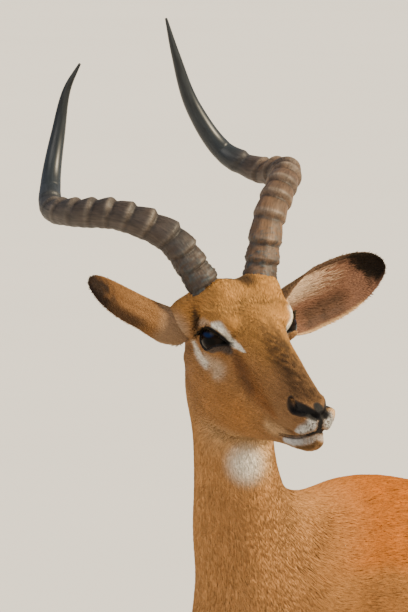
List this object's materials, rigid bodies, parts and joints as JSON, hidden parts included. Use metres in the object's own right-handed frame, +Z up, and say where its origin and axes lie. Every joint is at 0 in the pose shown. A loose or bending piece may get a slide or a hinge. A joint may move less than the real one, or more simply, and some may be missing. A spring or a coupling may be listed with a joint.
{
  "type": "impala antelope",
  "caption": "Life-size still model of a standing adult male antelope with ringed, lyre-shaped horns, its head turned to its left; it rests on its cloven hooves.",
  "frame": {"origin": "middle of the bounding box, at the level of the hoof soles", "axes": "+Z up, -Y the way the body faces, +X to the animal's own left; the head is turned towards +X"},
  "size_m": [0.4572, 1.2114, 1.4402],
  "materials": {
    "coat": "short glossy fawn hair, rufous on the back, white below",
    "horn": "dark grey ringed keratin, smoother towards the tips",
    "eye": "wet black, highly polished",
    "hoof": "black keratin, worn satin"
  },
  "bodies": {
    "root": {"head": "coat", "neck": "coat", "trunk": "coat", "tail": "coat", "ear_left": "coat", "ear_right": "coat", "leg_front_left": "coat", "leg_front_right": "coat", "leg_hind_left": "coat", "leg_hind_right": "coat", "horn_left": "horn", "horn_right": "horn", "eye_left": "eye", "eye_right": "eye", "hoof_front_left_inner": "hoof", "hoof_front_left_outer": "hoof", "hoof_front_right_inner": "hoof", "hoof_front_right_outer": "hoof", "hoof_hind_left_inner": "hoof", "hoof_hind_left_outer": "hoof", "hoof_hind_right_inner": "hoof", "hoof_hind_right_outer": "hoof"}
  },
  "joints": []
}
